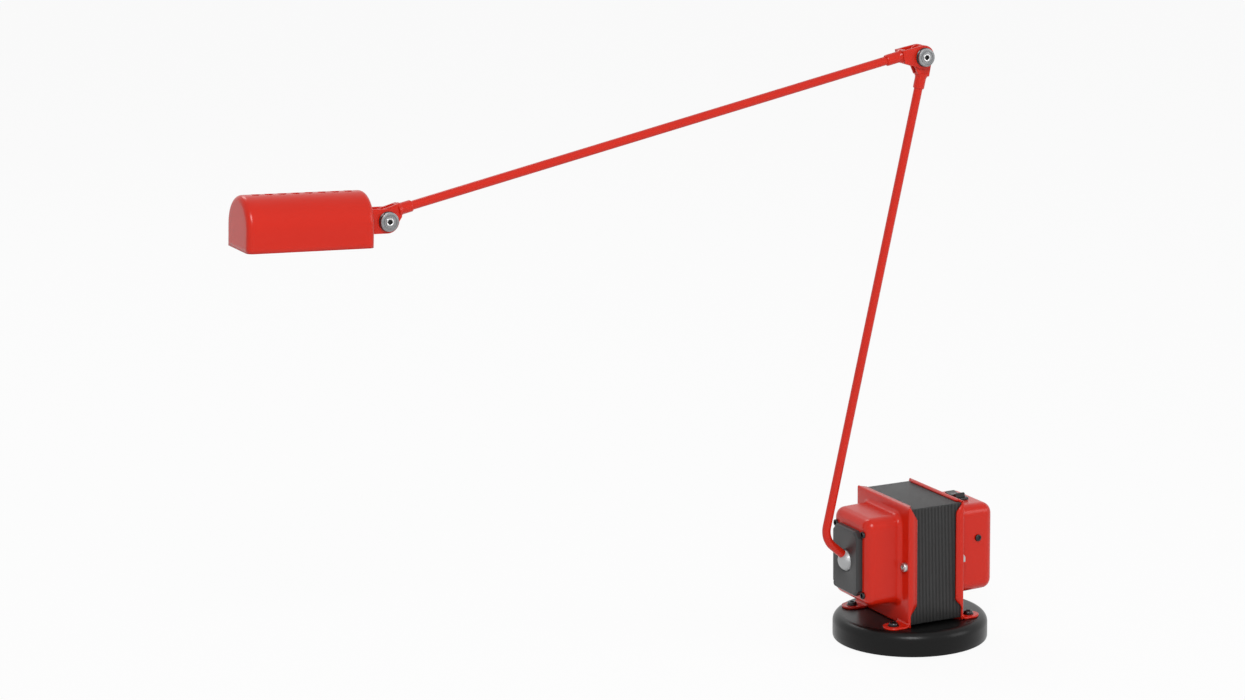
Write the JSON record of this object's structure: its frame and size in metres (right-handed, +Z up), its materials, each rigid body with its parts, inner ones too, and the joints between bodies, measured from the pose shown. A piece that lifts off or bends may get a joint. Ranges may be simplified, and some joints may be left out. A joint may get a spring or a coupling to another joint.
{
  "type": "architect desk lamp",
  "caption": "Low-voltage desk lamp: a transformer on an iron disc carries a ball joint, two thin tube arms with an elbow, and a tilting half-round shade.",
  "frame": {"origin": "centre of the foot pad's underside", "axes": "+X from the ball joint's cover to the switch's cover, +Z up; the arms lie in the plane y = 0"},
  "size_m": [0.5496, 0.11, 0.4229],
  "materials": {
    "black_iron": "satin black enamel on cast iron",
    "foot_rubber": "matte",
    "lamination_steel": "dark varnished plate edges",
    "red_paint": "semi-gloss red baked paint",
    "grey_paint": "satin dark grey",
    "black_steel": "black oxide",
    "zinc_steel": "zinc plated",
    "rough_aluminium": "blasted",
    "grey_caps": "turned, satin",
    "bright_sheet": "polished",
    "white_nylon": "natural",
    "black_plastic": "semi-gloss",
    "black_rubber": "matte",
    "copper": "enamelled copper wire",
    "contact_brass": "bright",
    "yellow_tape": "insulating tape",
    "fuse_case": "bright",
    "blue_wire": "insulated wire",
    "clear_wire": "insulated wire",
    "fibre": "fibre friction disc",
    "ceramic": "unglazed white ceramic",
    "quartz": "clear"
  },
  "bodies": {
    "base": {"base_disc": "black_iron", "base_pad": "foot_rubber", "foot_screws": "black_steel", "core_e_stack": "lamination_steel", "core_i_stack": "lamination_steel", "coil_bobbin": "white_nylon", "primary_winding": "copper", "secondary_winding": "copper", "winding_tape": "yellow_tape", "thermal_fuse": "fuse_case", "front_cover": "red_paint", "back_cover": "red_paint", "tie_bolts": "zinc_steel", "tie_nuts": "zinc_steel", "ball_plate": "grey_paint", "plate_nuts": "zinc_steel", "cover_screws": "black_steel", "seat_bracket": "zinc_steel", "cup_spring": "zinc_steel", "switch_frame": "black_plastic", "switch_contacts": "contact_brass", "terminal_block": "white_nylon", "terminal_screw": "black_steel", "cord_grommet": "black_rubber", "mains_leads": "blue_wire", "lamp_leads": "clear_wire"},
    "cup": {"ball_cup": "white_nylon"},
    "ball": {"ball": "rough_aluminium"},
    "lower_arm": {"lower_tube": "red_paint", "lower_wire": "clear_wire", "lower_fork": "red_paint", "elbow_discs": "fibre"},
    "upper_arm": {"upper_fork": "red_paint", "elbow_bushes": "black_plastic", "elbow_caps": "grey_caps", "elbow_bolt": "zinc_steel", "elbow_nut": "zinc_steel", "upper_tube": "red_paint", "upper_wire": "clear_wire", "head_fork": "red_paint", "head_discs": "fibre"},
    "head": {"head_bracket": "red_paint", "head_bushes": "black_plastic", "head_caps": "grey_caps", "head_bolt": "zinc_steel", "head_nut": "zinc_steel", "shade": "red_paint", "reflector": "bright_sheet", "lampholder": "ceramic", "holder_screws": "black_steel", "bulb": "quartz", "bulb_pins": "contact_brass", "head_leads": "clear_wire"},
    "rocker": {"switch_rocker": "black_plastic"}
  },
  "joints": [
    {"name": "ball_roll", "type": "hinge", "parent": "base", "child": "cup", "pos_m": [-0.0495, 0, 0.0628], "axis": [1, 0, 0], "range_deg": [-35, 35]},
    {"name": "ball_lean", "type": "hinge", "parent": "cup", "child": "ball", "pos_m": [-0.0495, 0, 0.0628], "axis": [0, 1, 0], "range_deg": [-62, 4]},
    {"name": "ball_twist", "type": "hinge", "parent": "ball", "child": "lower_arm", "pos_m": [-0.0495, 0, 0.0628], "axis": [-0.7547, 0, 0.6561], "range_deg": [-45, 45]},
    {"name": "elbow", "type": "hinge", "parent": "lower_arm", "child": "upper_arm", "pos_m": [0.00601, 0, 0.41489], "axis": [0, 1, 0], "range_deg": [-20, 114]},
    {"name": "head_tilt", "type": "hinge", "parent": "upper_arm", "child": "head", "pos_m": [-0.39304, 0, 0.33689], "axis": [0, 1, 0], "range_deg": [-110, 80]},
    {"name": "switch", "type": "hinge", "parent": "base", "child": "rocker", "pos_m": [0.037, 0, 0.097], "axis": [1, 0, 0], "range_deg": [0, 12]}
  ]
}
